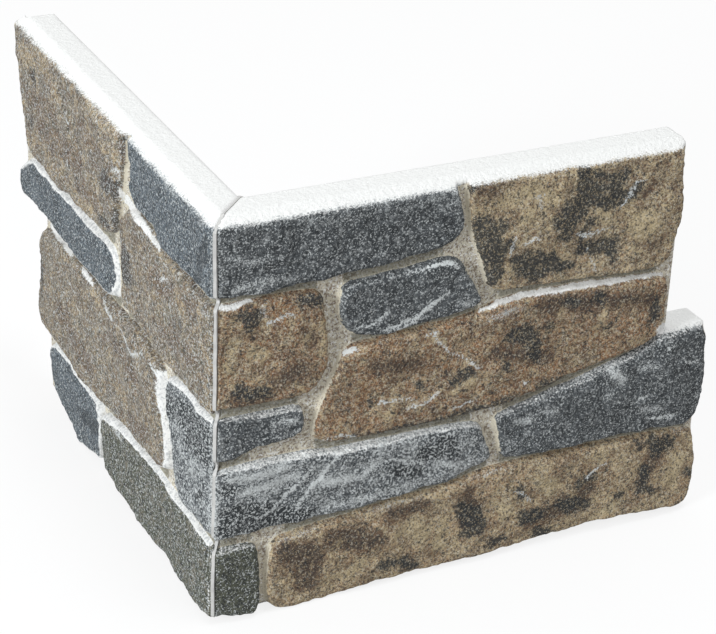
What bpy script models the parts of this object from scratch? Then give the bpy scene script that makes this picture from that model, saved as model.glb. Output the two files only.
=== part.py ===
"""Corner piece of stone-look wall cladding.

Two pressed stoneware panels meet at the corner in a 45 degree mitre and are glued along it. Each panel is
a slab with stones of several sizes standing out of it in courses, with bedded joints between them. The
courses end in a step, so that the next panel of the wall locks into this one.

A panel is drawn in its own frame: u runs along the arm from the outer corner, depth runs from the stone
faces into the wall, and v runs up from the foot. All sizes are in millimetres until an object is made.
"""
import math
from collections import namedtuple

import bmesh
import bpy
from mathutils import Vector, noise

MM = 0.001

# Driving dimensions of the two panels
LONG_ARM = 192.0         # outer corner to the far end of the long panel
LONG_STEP = 16.3         # its upper courses end this much earlier
LONG_COVER = 1.5         # its end stones stand this far past the slab
RETURN_ARM = 196.5       # outer corner to the far end of the return panel
RETURN_STEP = 21.0       # its lower courses end this much earlier
RETURN_COVER = 4.0       # its end stones stand this far past the slab
PANEL_HEIGHT = 150.0
STEP_LEVEL = 77.5        # height at which the courses step back
SLAB_THICKNESS = 12.3    # back face to the bed of the joints
STONE_RISE = 3.0         # bed of the joints to the stone faces
TOP_LAND = 9.8           # width of the flat top edge, from the back face
TOP_DROP = 2.7           # fall of the sloped front of the top edge
FOOT_LAND = 9.0          # width of the flat foot, from the back face
FOOT_DROP = 3.0          # height of the chamfer along the slab's foot

# Form of a stone
NEAR_SLOPE = 1.3         # how far the side nearest the corner leans in on its way up to the face
UNDER_SLOPE = 0.4        # the same for the lower side and the far side
SHOULDER_LEAN = 0.45     # share of that lean reached at the shoulder
SHOULDER_DEPTH = 0.3     # depth of the shoulder, as a share of the rise
CORNER_CUT = 2.5         # a stone's corners are broken this far back
CUT_SHARE = 0.3          # but by no more than this share of an edge
SHARP_LIMIT = 0.7        # a corner that leans in is pushed out by no more than one over this
FACET = 8.0              # spacing of the hewn facets
FACET_STRAY = 3.0        # how far their corners stray from an even grid
ROOT = 2.0               # a stone is rooted this deep in the slab
LUMP = 1.3               # height and spacing of the slow swells of a face
LUMP_SPACING = 28.0
CHIP = 0.6               # height and spacing of the hewn marks
CHIP_SPACING = 9.0
EDGE_WANDER = 0.5        # how far an edge strays from a straight line
ARRIS_WEAR = 1.5         # the faces fall off this much at the corner
END_WEAR = 1.2           # and this much at the far end
WEAR_REACH = 4.0         # within about this distance of either

# Glue line in the mitre
GLUE_THICKNESS = 0.5
GLUE_SEAT = 0.25         # clearance between the glue and either panel
GLUE_BEAD = 1.6          # leg of the bead squeezed out in the inner corner
GLUE_INSET = 0.3         # the glue ends this short of the top and the foot

# Keying grooves in the back
GROOVE_WIDTH = 6.0
GROOVE_DEPTH = 0.7
GROOVE_PITCH = 12.5
GROOVE_CLEAR = 8.0       # the grooves stop this short of the inner corner

THICKNESS = SLAB_THICKNESS + STONE_RISE
PAST = 4.0               # cut material runs this far past its final edge
SNAP = 0.2               # a facet line this close to a corner runs through it
TOUCH = 0.0001           # points closer than this count as one
FIRST_SEED = 1.7         # the relief's seeds: the first, and the steps to the next panel and stone
PANEL_SEED_STEP = 300.0
STONE_SEED_STEP = 10.0

# The stones are outlined on panels of these sizes, and stretch with the real ones
DRAWN_STEP_LEVEL = 77.5
DRAWN_HEIGHT = 150.0
DRAWN_LONG = {"upper": 175.7, "lower": 192.0}
DRAWN_RETURN = {"upper": 196.5, "lower": 175.5}

Stone = namedtuple("Stone", "name course rise top_slope near_slope outline")
Panel = namedtuple("Panel", "name hand reach cover drawn stones")

LONG_STONES = [
    Stone("slate_top", "upper", 0.1, 2.0, NEAR_SLOPE, [
        (-4, 123), (20, 122.5), (45, 123.7), (66, 125.2), (80, 126.6), (87, 129), (89, 134.5),
        (88, 140.5), (86, 146), (84.5, 154), (-4, 154)]),
    Stone("olive_top", "upper", 0.4, 2.0, NEAR_SLOPE, [
        (90, 154), (89.5, 141), (91.5, 131), (96.5, 118), (100, 107.7), (110, 106.5), (130, 106),
        (141, 105.2), (160, 104.5), (168.6, 104.8), (172, 110), (173.2, 119), (173.4, 136), (172.8, 146),
        (172, 154)]),
    Stone("rust_corner", "upper", -0.1, 2.0, NEAR_SLOPE, [
        (-4, 82.6), (34, 82.8), (38, 86), (40.5, 91.5), (41.5, 98), (41, 105), (39, 112), (38.5, 120),
        (25, 121), (-4, 121)]),
    Stone("small_slate", "upper", -0.2, 3.0, NEAR_SLOPE, [
        (45, 121), (44, 113), (44.5, 108), (50, 100.8), (60, 99.6), (80, 100.6), (90, 101.8), (96, 103.4),
        (97.5, 105.4), (94.6, 111), (91.6, 116), (88.8, 120.8), (86, 122.8), (80, 123.3), (65, 122)]),
    Stone("big_rust", "upper", 0.3, 3.0, NEAR_SLOPE, [
        (47, 97.5), (55, 98.4), (80, 99.3), (90, 100), (97, 101.6), (105, 104), (120, 104.2), (130, 104),
        (150, 102.9), (168.5, 101.6), (171.2, 98.6), (172, 90), (170.8, 82), (168, 76), (150, 71.2),
        (130, 67.2), (120, 65), (110, 63), (98, 62), (52, 61.4), (40, 62.8), (36, 66.4), (37, 72),
        (40, 80.5), (42.5, 86.5)]),
    Stone("slate_strip", "lower", -0.2, 2.8, NEAR_SLOPE, [
        (-4, 63), (8, 63.4), (14, 65.9), (24, 67.5), (32, 67.7), (33, 70), (33, 76.4), (31.5, 79.4),
        (-4, 79.8)]),
    Stone("pale_slate", "lower", 0.2, 2.8, NEAR_SLOPE, [
        (-4, 60.4), (20, 61.3), (32, 61), (46, 59.3), (75, 59.3), (90, 58.6), (98.5, 57.9), (101, 54.8),
        (103.6, 48.5), (105.4, 43.5), (104.6, 40.6), (94, 37.6), (85, 35.9), (70, 35.5), (55, 34.5),
        (40, 33.7), (-4, 33.7)]),
    Stone("end_slate", "lower", 0.5, 3.6, NEAR_SLOPE, [
        (105, 57.2), (109, 59.8), (120, 62.2), (130, 65.2), (138, 66.2), (150, 69.8), (158, 71.6),
        (166, 74.8), (171, 77.2), (189, 77.6), (191.2, 74.5), (192, 59), (191.4, 47), (189, 38.2),
        (180, 38), (150, 39.2), (115, 40), (109, 40.8), (108, 46.5), (106, 53)]),
    Stone("foot_green", "lower", -0.1, 3.0, NEAR_SLOPE, [
        (-4, 3.2), (3, 2.3), (10, 1.8), (17, 1.8), (18.5, 7), (18.3, 17), (17.8, 26), (16, 30.2), (-4, 30)]),
    Stone("foot_brown", "lower", 0.3, 3.2, NEAR_SLOPE, [
        (22.5, 29.2), (30, 30.5), (55, 32.5), (70, 34.2), (85, 34.6), (94, 36), (103, 38), (115, 38.5),
        (150, 37.6), (180, 36.6), (189, 35.4), (191, 32), (191.4, 26), (192, 18), (192, 10), (190.6, 4.4),
        (187, 2.6), (176, 3.4), (160, 4.2), (147, 3.8), (133, 3), (119, 2.6), (95, 1.8), (60, 1.9),
        (47, 0.4), (36, 0.1), (27, 0.3), (22, 1.6), (20.5, 6), (20.3, 14), (21, 24)]),
]

RETURN_STONES = [
    Stone("slate_top", "upper", 0.1, 2.0, NEAR_SLOPE, [
        (-4, 122.4), (40, 122.4), (48, 123.5), (55, 126), (71, 126.8), (75.5, 130), (73.5, 136), (75, 142),
        (77.3, 154), (-4, 154)]),
    Stone("olive_top", "upper", 0.6, 2.5, NEAR_SLOPE, [
        (80.3, 154), (78.9, 145), (79.3, 139), (81.3, 133.5), (82, 127), (84.8, 120), (88, 110), (91.5, 105),
        (100, 103.4), (112, 102.2), (146, 101), (175, 102.2), (181, 105), (183.4, 112), (185.6, 122),
        (190, 131), (194.6, 138), (195.6, 146), (194.5, 154)]),
    Stone("thin_slate", "upper", 0.3, 5.5, 7.0, [
        (88, 80.7), (86.7, 86), (87, 96), (92, 101.5), (112, 100.6), (146, 99.6), (177, 100.2), (187, 96),
        (194, 91.5), (196.5, 87.5), (194.5, 83), (191, 79.7), (160, 80.2), (130, 79.4), (98, 79.8)]),
    Stone("brown_corner", "upper", -0.1, 2.5, NEAR_SLOPE, [
        (-4, 81.2), (36, 81), (50, 81), (60, 82), (71, 82.7), (83, 82), (85, 92), (84.6, 102), (85.6, 109),
        (84, 114.5), (81.5, 119.5), (72, 124.6), (57, 124.2), (49, 121.8), (40, 120.9), (-4, 120.9)]),
    Stone("big_brown", "lower", 0.5, 2.5, 5.0, [
        (43.5, 77), (55, 78.6), (71, 80), (84, 78.8), (97, 77.8), (130, 77.8), (150, 77), (166, 75),
        (172, 72), (175, 65), (175.5, 50), (174.5, 38), (177, 33.5), (174.5, 30.8), (150, 31.5), (126, 30.5),
        (111, 31), (90, 32.5), (72, 33.5), (57, 35.5), (44, 36.5), (38.5, 39), (37.5, 46), (39.5, 55),
        (43, 62)]),
    Stone("slate_corner", "lower", 0.0, 3.0, NEAR_SLOPE, [
        (-4, 79.4), (30, 79.3), (38, 78), (41, 74.5), (41, 64), (36.5, 59), (33.5, 52), (32, 44),
        (32, 34.4), (-4, 34.2)]),
    Stone("foot_grey", "lower", 0.1, 4.5, NEAR_SLOPE, [
        (-4, 3), (5, 2.2), (18, 1.6), (37, 1.3), (60, 1.3), (77, 1.8), (90, 2.8), (100, 3.6), (104.4, 5.4),
        (105, 10), (105.2, 17), (105, 28), (90, 31), (72, 32), (57, 34), (40, 33), (-4, 32.6)]),
    Stone("foot_slate", "lower", 0.2, 6.0, UNDER_SLOPE, [
        (106.6, 4.6), (112, 4), (119, 2.6), (128, 1), (136, 1), (143, 2.2), (151, 3), (158, 5), (163, 8.2),
        (165.5, 13), (167.6, 20), (166.4, 24.5), (162, 29.2), (145, 30), (126, 29.2), (112, 29.5),
        (106.8, 28)]),
]


PANELS = [
    Panel("long_panel", 1, {"upper": LONG_ARM - LONG_STEP, "lower": LONG_ARM},
          LONG_COVER, DRAWN_LONG, LONG_STONES),
    Panel("return_panel", -1, {"upper": RETURN_ARM, "lower": RETURN_ARM - RETURN_STEP},
          RETURN_COVER, DRAWN_RETURN, RETURN_STONES),
]


def clear_scene():
    for obj in list(bpy.data.objects):
        bpy.data.objects.remove(obj, do_unlink=True)
    for collection in list(bpy.data.collections):
        bpy.data.collections.remove(collection)


def new_collection(name):
    collection = bpy.data.collections.new(name)
    bpy.context.scene.collection.children.link(collection)
    return collection


def material(name, colour, roughness):
    """A non-metallic surface finish."""
    finish = bpy.data.materials.new(name)
    finish.use_nodes = True
    shader = finish.node_tree.nodes["Principled BSDF"]
    shader.inputs["Base Color"].default_value = (*colour, 1.0)
    shader.inputs["Roughness"].default_value = roughness
    shader.inputs["Metallic"].default_value = 0.0
    finish.diffuse_color = (*colour, 1.0)
    return finish


def object_from_bmesh(name, bm, collection, parent):
    """Scale a finished bmesh to metres, turn its faces outwards and link it as an object."""
    bmesh.ops.scale(bm, verts=bm.verts, vec=(MM, MM, MM))
    bmesh.ops.recalc_face_normals(bm, faces=bm.faces)
    mesh = bpy.data.meshes.new(name)
    bm.to_mesh(mesh)
    bm.free()
    obj = bpy.data.objects.new(name, mesh)
    obj.parent = parent
    collection.objects.link(obj)
    return obj


def hide_cutter(obj):
    obj.hide_render = True
    obj.display_type = "WIRE"


def flat_solid(name, outline, thickness, rotation, location, collection, parent):
    """A flat outline, filled and extruded to a thickness about its own plane, as a welded mesh."""
    curve = bpy.data.curves.new(name, "CURVE")
    curve.dimensions = "2D"
    curve.fill_mode = "BOTH"
    curve.extrude = thickness / 2 * MM
    spline = curve.splines.new("POLY")
    spline.points.add(len(outline) - 1)
    for point, (x, y) in zip(spline.points, outline):
        point.co = (x * MM, y * MM, 0.0, 1.0)
    spline.use_cyclic_u = True
    drawn = bpy.data.objects.new(name + "_curve", curve)
    drawn.rotation_euler = rotation
    drawn.location = Vector(location) * MM
    collection.objects.link(drawn)
    bpy.context.view_layer.update()
    evaluated = drawn.evaluated_get(bpy.context.evaluated_depsgraph_get())
    mesh = bpy.data.meshes.new_from_object(evaluated)
    bm = bmesh.new()
    bm.from_mesh(mesh)
    bmesh.ops.remove_doubles(bm, verts=bm.verts, dist=TOUCH * MM)
    bmesh.ops.recalc_face_normals(bm, faces=bm.faces)
    bm.to_mesh(mesh)
    bm.free()
    solid = bpy.data.objects.new(name, mesh)
    solid.matrix_world = drawn.matrix_world
    solid.parent = parent
    collection.objects.link(solid)
    bpy.data.objects.remove(drawn, do_unlink=True)
    return solid


def prism(name, section, start, end, collection, parent):
    """A cutter: a section in depth and height, extruded along the arm."""
    bm = bmesh.new()
    face = bm.faces.new([bm.verts.new((start, depth, v)) for depth, v in section])
    grown = bmesh.ops.extrude_face_region(bm, geom=[face])
    moved = [item for item in grown["geom"] if isinstance(item, bmesh.types.BMVert)]
    bmesh.ops.translate(bm, verts=moved, vec=(end - start, 0.0, 0.0))
    cutter = object_from_bmesh(name, bm, collection, parent)
    hide_cutter(cutter)
    return cutter


def boolean(obj, operation, cutter=None, cutters=None):
    modifier = obj.modifiers.new(operation.lower(), "BOOLEAN")
    modifier.operation = operation
    modifier.solver = "EXACT"
    if cutters is None:
        modifier.object = cutter
    else:
        modifier.operand_type = "COLLECTION"
        modifier.collection = cutters


def stretched(panel, course, u, v):
    """A point drawn on the outline sheet, moved to its place on a panel of the real size."""
    along = u * panel.reach[course] / panel.drawn[course]
    if v < DRAWN_STEP_LEVEL:
        return Vector((along, v * STEP_LEVEL / DRAWN_STEP_LEVEL))
    share = (v - DRAWN_STEP_LEVEL) / (DRAWN_HEIGHT - DRAWN_STEP_LEVEL)
    return Vector((along, STEP_LEVEL + share * (PANEL_HEIGHT - STEP_LEVEL)))


def broken_corners(points):
    """Each corner replaced by a short flat."""
    result = []
    for index, point in enumerate(points):
        for other in (points[index - 1], points[(index + 1) % len(points)]):
            edge = other - point
            reach = min(CORNER_CUT, edge.length * CUT_SHARE)
            result.append(point + edge.normalized() * reach)
    return result


def stray_at(u, v, seed):
    """A smooth scatter in the face plane, up to about one each way."""
    along = noise.noise(Vector((u, v, seed)) / CHIP_SPACING)
    up = noise.noise(Vector((v, u, -seed)) / CHIP_SPACING)
    return Vector((along, up))


def wandering_edges(points, seed):
    """The outline with a point at least at every facet, each strayed a little from the line."""
    result = []
    for index, point in enumerate(points):
        after = points[(index + 1) % len(points)]
        steps = max(1, round((after - point).length / FACET))
        for step in range(steps):
            spot = point.lerp(after, step / steps)
            result.append(spot + stray_at(spot.x, spot.y, seed) * EDGE_WANDER)
    return result


def counter_clockwise(points):
    area = sum(a.x * b.y - b.x * a.y for a, b in zip(points, points[1:] + points[:1]))
    return points if area > 0 else points[::-1]


def leaned_in(points, stone, share):
    """The outline moved inwards by a share of the slope that each of its sides has."""
    result = []
    for index, point in enumerate(points):
        edges = (point - points[index - 1], points[(index + 1) % len(points)] - point)
        normals = [Vector((edge.y, -edge.x)).normalized() for edge in edges]
        outward = (normals[0] + normals[1]).normalized()
        corner = 1.0 / max(SHARP_LIMIT, outward.dot(normals[0]))
        width = UNDER_SLOPE
        width += max(0.0, outward.y) * (stone.top_slope - UNDER_SLOPE)
        width += max(0.0, -outward.x) * (stone.near_slope - UNDER_SLOPE)
        result.append(point - outward * width * corner * share)
    return result


def relief(panel, stone, u, v, seed):
    """How far a stone's face stands out of the nominal face plane at a point."""
    spot = Vector((u, v, seed))
    lumps = LUMP * noise.noise(spot / LUMP_SPACING)
    chips = CHIP * noise.noise(spot / CHIP_SPACING)
    wear = ARRIS_WEAR * math.exp(-max(u, 0.0) / WEAR_REACH)
    wear += END_WEAR * math.exp(-max(panel.reach[stone.course] - u, 0.0) / WEAR_REACH)
    return stone.rise + lumps + chips - wear


def face_of(bm):
    """The faces that lie in the stone's face plane."""
    return [face for face in bm.faces if all(abs(vert.co.y) < TOUCH for vert in face.verts)]


def cut_facets(bm, hand):
    """Cut the face along lines a facet apart, and once more close to the corner."""
    corners = [vert.co for face in face_of(bm) for vert in face.verts]
    for axis in (0, 2):
        low = min(co[axis] for co in corners)
        high = max(co[axis] for co in corners)
        lines = [step * FACET for step in range(math.ceil(low / FACET), math.ceil(high / FACET))]
        if axis == 0:
            lines.append(hand * WEAR_REACH)
        for line in lines:
            faces = face_of(bm)
            edges = dict.fromkeys(edge for face in faces for edge in face.edges)
            verts = dict.fromkeys(vert for face in faces for vert in face.verts)
            normal = [1.0 if index == axis else 0.0 for index in range(3)]
            bmesh.ops.bisect_plane(bm, geom=[*verts, *edges, *faces], dist=SNAP,
                                   plane_co=[line * part for part in normal], plane_no=normal)


def stone_solid(panel, stone, seed, collection, parent):
    """A stone rooted in the slab, rising over a shoulder to a hewn face."""
    drawn = [stretched(panel, stone.course, u, v) for u, v in stone.outline]
    outline = counter_clockwise(wandering_edges(broken_corners(drawn), seed))
    bm = bmesh.new()
    root = [bm.verts.new((panel.hand * p.x, STONE_RISE + ROOT, p.y)) for p in outline]
    face = bm.faces.new(root)
    for depth, share in ((STONE_RISE * SHOULDER_DEPTH, SHOULDER_LEAN), (0.0, 1.0)):
        grown = bmesh.ops.extrude_face_region(bm, geom=[face, *face.edges])["geom"]
        face = next(item for item in grown if isinstance(item, bmesh.types.BMFace))
        ring = dict(zip(root_order(face, root), leaned_in(outline, stone, share)))
        for vert, point in ring.items():
            vert.co = (panel.hand * point.x, depth, point.y)
        root = list(ring)
    cut_facets(bm, panel.hand)
    roughen(bm, panel, stone, seed)
    obj = object_from_bmesh(f"{panel.name}_{stone.name}", bm, collection, parent)
    hide_cutter(obj)
    return obj


def root_order(face, below):
    """The verts of a newly extruded face, in the order of the ring that it was extruded from."""
    placed = {tuple(vert.co): vert for vert in face.verts}
    return [placed[tuple(vert.co)] for vert in below]


def roughen(bm, panel, stone, seed):
    """Scatter the facet corners over the face, split it into triangles and raise it to its relief."""
    faces = set(face_of(bm))
    inner = [vert for vert in bm.verts if all(face in faces for face in vert.link_faces)]
    rim = [vert.co.copy() for face in faces for vert in face.verts if vert not in inner]
    for vert in inner:
        room = min((vert.co - spot).length for spot in rim)
        stray = stray_at(vert.co.x, vert.co.z, seed) * FACET_STRAY * min(1.0, room / FACET)
        vert.co += Vector((stray.x, 0.0, stray.y))
    bmesh.ops.triangulate(bm, faces=bm.faces)
    for vert in bm.verts:
        share = 1.0 - vert.co.y / STONE_RISE
        if share > 0.0:
            vert.co.y -= share * relief(panel, stone, panel.hand * vert.co.x, vert.co.z, seed)


def slab_outline(panel):
    """Front view of the slab, with the step in its far end, running past the cuts still to be made."""
    upper = panel.reach["upper"] - panel.cover
    lower = panel.reach["lower"] - panel.cover
    corners = [(-PAST, -PAST), (lower, -PAST), (lower, STEP_LEVEL), (upper, STEP_LEVEL),
               (upper, PANEL_HEIGHT + PAST), (-PAST, PANEL_HEIGHT + PAST)]
    return [(panel.hand * u, v) for u, v in corners]


def add_grooves(panel, collection, parent):
    """Keying grooves along the back face, open at the far end."""
    start = THICKNESS + GROOVE_CLEAR
    end = max(panel.reach.values()) + PAST
    count = int((PANEL_HEIGHT - GROOVE_PITCH) / GROOVE_PITCH)
    first = (PANEL_HEIGHT - (count - 1) * GROOVE_PITCH) / 2
    bm = bmesh.new()
    for index in range(count):
        cube = bmesh.ops.create_cube(bm, size=1.0)["verts"]
        bmesh.ops.scale(bm, verts=cube, vec=(end - start, 2 * GROOVE_DEPTH, GROOVE_WIDTH))
        centre = (panel.hand * (start + end) / 2, THICKNESS, first + index * GROOVE_PITCH)
        bmesh.ops.translate(bm, verts=cube, vec=centre)
    grooves = object_from_bmesh(panel.name + "_grooves", bm, collection, parent)
    hide_cutter(grooves)
    return grooves


def add_trim(panel, collection, parent):
    """The room that the panel keeps within: flat at the foot, with a sloped front to its top edge."""
    slope_end = THICKNESS - TOP_LAND
    fall = TOP_DROP * (slope_end + PAST) / slope_end
    section = [(-PAST, 0.0), (THICKNESS + PAST, 0.0), (THICKNESS + PAST, PANEL_HEIGHT),
               (slope_end, PANEL_HEIGHT), (-PAST, PANEL_HEIGHT - fall)]
    end = max(panel.reach.values()) + PAST
    return prism(panel.name + "_trim", section, -2 * PAST * panel.hand, end * panel.hand, collection, parent)


def add_foot_chamfer(panel, collection, parent):
    """The wedge taken off the front of the slab's foot, before the stones are set on it."""
    depth = THICKNESS - FOOT_LAND
    slope = FOOT_DROP / (depth - STONE_RISE)
    top = FOOT_DROP + slope * PAST
    section = [(STONE_RISE - PAST, top), (STONE_RISE - PAST, -2 * PAST),
               (depth + 2 * PAST / slope, -2 * PAST)]
    end = max(panel.reach.values()) + PAST
    return prism(panel.name + "_foot", section, -2 * PAST * panel.hand, end * panel.hand, collection, parent)


def add_mitre(panel, collection, parent):
    """The block cut away along the mitre, leaving half the glue line's room on this side."""
    half_gap = GLUE_THICKNESS / 2 + GLUE_SEAT
    width = 2 * THICKNESS
    bm = bmesh.new()
    cube = bmesh.ops.create_cube(bm, size=1.0)["verts"]
    bmesh.ops.scale(bm, verts=cube, vec=(6 * THICKNESS, width, 2 * PANEL_HEIGHT))
    bmesh.ops.translate(bm, verts=cube, vec=(0.0, panel.hand * (width / 2 - half_gap), PANEL_HEIGHT / 2))
    mitre = object_from_bmesh(panel.name + "_mitre", bm, collection, parent)
    mitre.rotation_euler = (0.0, 0.0, math.radians(45.0))
    hide_cutter(mitre)
    return mitre


def make_panel(panel, seed, parts, cutters, corner, finish):
    """A panel in its own frame, which is turned about the corner for the return."""
    frame = bpy.data.objects.new(panel.name + "_frame", None)
    frame.parent = corner
    if panel.hand < 0:
        frame.rotation_euler = (0.0, 0.0, math.radians(-90.0))
    parts.objects.link(frame)
    middle = STONE_RISE + SLAB_THICKNESS / 2
    slab = flat_solid(panel.name, slab_outline(panel), SLAB_THICKNESS, (math.radians(90.0), 0.0, 0.0),
                      (0.0, middle, 0.0), parts, frame)
    slab.data.materials.clear()
    slab.data.materials.append(finish)
    stones = bpy.data.collections.new(panel.name + "_stones")
    cutters.children.link(stones)
    for index, stone in enumerate(panel.stones):
        stone_solid(panel, stone, seed + STONE_SEED_STEP * index, stones, frame)
    boolean(slab, "DIFFERENCE", add_foot_chamfer(panel, cutters, frame))
    boolean(slab, "DIFFERENCE", add_grooves(panel, cutters, frame))
    boolean(slab, "UNION", cutters=stones)
    boolean(slab, "INTERSECT", add_trim(panel, cutters, frame))
    boolean(slab, "DIFFERENCE", add_mitre(panel, cutters, corner))
    return slab


def make_glue(parts, corner, finish):
    """The glue line: a thin web on the mitre that ends in a bead in the inner corner."""
    half = GLUE_THICKNESS / math.sqrt(2.0)
    outer = STONE_RISE
    inner = THICKNESS + GLUE_SEAT
    tip = inner + half + GLUE_BEAD
    plan = [(outer + half / 2, outer - half / 2), (inner + half, inner), (tip, inner),
            (inner, tip), (inner, inner + half), (outer - half / 2, outer + half / 2)]
    height = PANEL_HEIGHT - 2 * GLUE_INSET
    middle = (0.0, 0.0, PANEL_HEIGHT / 2)
    glue = flat_solid("mitre_glue", plan, height, (0.0, 0.0, 0.0), middle, parts, corner)
    glue.data.materials.clear()
    glue.data.materials.append(finish)
    return glue


def centre_on_foot(corner, nodes):
    """Move the corner piece so that the middle of its foot lies at the origin."""
    bpy.context.view_layer.update()
    depsgraph = bpy.context.evaluated_depsgraph_get()
    spots = []
    for node in nodes:
        evaluated = node.evaluated_get(depsgraph)
        spots += [evaluated.matrix_world @ vert.co for vert in evaluated.data.vertices]
    for axis in (0, 1):
        values = [spot[axis] for spot in spots]
        corner.location[axis] = -(min(values) + max(values)) / 2
    bpy.context.view_layer.update()


def main():
    clear_scene()
    parts = new_collection("cladding_corner")
    cutters = new_collection("cutters")
    corner = bpy.data.objects.new("outer_corner", None)
    parts.objects.link(corner)
    finishes = {
        "long_panel": material("stoneware_long", (0.23, 0.19, 0.15), 0.75),
        "return_panel": material("stoneware_return", (0.27, 0.25, 0.22), 0.75),
    }
    nodes = []
    for index, panel in enumerate(PANELS):
        seed = FIRST_SEED + PANEL_SEED_STEP * index
        nodes.append(make_panel(panel, seed, parts, cutters, corner, finishes[panel.name]))
    nodes.append(make_glue(parts, corner, material("grey_glue", (0.42, 0.42, 0.40), 0.85)))
    centre_on_foot(corner, nodes)


main()
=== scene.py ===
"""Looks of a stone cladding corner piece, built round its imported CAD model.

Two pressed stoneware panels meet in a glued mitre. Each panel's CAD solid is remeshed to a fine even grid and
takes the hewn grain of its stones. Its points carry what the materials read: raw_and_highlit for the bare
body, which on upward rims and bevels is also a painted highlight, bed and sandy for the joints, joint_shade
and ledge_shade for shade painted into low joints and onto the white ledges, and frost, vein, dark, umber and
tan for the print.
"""
import math
from collections import namedtuple

import bmesh
import bpy
import numpy as np
from bpy.props import FloatProperty, FloatVectorProperty, PointerProperty
from mathutils import Matrix, Vector, noise
from mathutils.bvhtree import BVHTree


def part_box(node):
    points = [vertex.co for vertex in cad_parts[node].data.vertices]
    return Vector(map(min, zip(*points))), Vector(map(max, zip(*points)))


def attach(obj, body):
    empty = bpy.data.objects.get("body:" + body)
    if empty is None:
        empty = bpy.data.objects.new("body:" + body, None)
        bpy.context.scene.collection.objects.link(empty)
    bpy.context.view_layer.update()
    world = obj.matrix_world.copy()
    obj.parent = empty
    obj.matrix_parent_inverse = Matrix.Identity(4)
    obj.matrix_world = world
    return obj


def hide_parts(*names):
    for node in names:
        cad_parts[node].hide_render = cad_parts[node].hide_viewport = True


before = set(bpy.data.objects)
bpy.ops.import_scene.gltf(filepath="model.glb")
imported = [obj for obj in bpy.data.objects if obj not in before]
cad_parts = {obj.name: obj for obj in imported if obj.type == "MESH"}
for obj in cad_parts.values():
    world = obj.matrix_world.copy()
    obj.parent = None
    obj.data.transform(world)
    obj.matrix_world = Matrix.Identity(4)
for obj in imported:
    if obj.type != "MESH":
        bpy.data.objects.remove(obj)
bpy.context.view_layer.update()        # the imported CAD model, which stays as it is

bl_info = {
    "name": "Stone cladding corner piece",
    "version": (1, 0, 0),
    "blender": (4, 5, 0),
    "location": "View3D > Sidebar > Cladding",
    "description": "Dresses the CAD solids of a stoneware cladding corner with stone faces, joints and glue",
    "category": "Object",
}

MM = 0.001

# Sizes that the CAD model fixes, in millimetres
THICKNESS = 15.3    # stone faces to the back of a panel
BED_DEPTH = 3.0     # stone faces to the bed of the joints
HEIGHT = 150.0
PRINT_TOP = 148.5   # the print ends here, on the sloped front of the top edge
SLOPE_FOOT = 147.3  # the slope starts here
SLOPE = 2.04        # its depth for each millimetre of height
MITRE_GAP = 1.0     # between the two panels' mitre faces
MITRE_CREEP = 0.25  # how far each panel's mitre face is pushed into that gap


def rgb(code):
    """Linear colour of an sRGB hex value."""
    parts = [int(code[i:i + 2], 16) / 255 for i in (1, 3, 5)]
    return tuple(c / 12.92 if c <= 0.04045 else ((c + 0.055) / 1.055) ** 2.4 for c in parts)


# What a user would change

def length(name, text, size):
    return FloatProperty(name=name, description=text, default=size * MM, min=0.0, subtype="DISTANCE",
                         unit="LENGTH")


def colour(name, text, code):
    return FloatVectorProperty(name=name, description=text, default=rgb(code), min=0.0, max=1.0,
                               subtype="COLOR")


class CladdingSizes(bpy.types.PropertyGroup):
    grid: length("Grid", "Spacing of the panel meshes' points", 0.8)
    swell: length("Swell", "Height of the slow waves in a stone's face", 0.7)
    hewn: length("Hewn marks", "Height of the hewn marks", 0.4)
    grain: length("Grain", "Height of the coarse grain", 0.2)
    joint_sand: length("Joint sand", "Height of the sandy texture in the joints", 0.1)
    resin_bead: length("Resin bead", "Leg of the bead of resin in the inner corner", 2.2)


class CladdingColours(bpy.types.PropertyGroup):
    body: colour("Body", "Raw stoneware body", "#efefed")
    sand: colour("Sand", "Sandy joints", "#d4cdbb")
    charcoal: colour("Charcoal", "Dark slate", "#333638")
    slate: colour("Slate", "Middle slate", "#5f6366")
    blue: colour("Blue slate", "Blue grey slate", "#6e777e")
    frost: colour("Frost", "Pale speckle and veins", "#d9dddd")
    rust: colour("Rust", "Rust brown stone", "#9a7454")
    ochre: colour("Ochre", "Tan patches", "#c4b390")
    umber: colour("Umber", "Purple brown patches", "#665041")
    olive: colour("Olive", "Olive brown stone", "#c0ad8c")
    dun: colour("Dun", "Grey brown stone", "#8f8778")
    moss: colour("Moss", "Dark green grey stone", "#5a5c50")
    resin: colour("Resin", "Mitre glue", "#c6c5c2")
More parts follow.
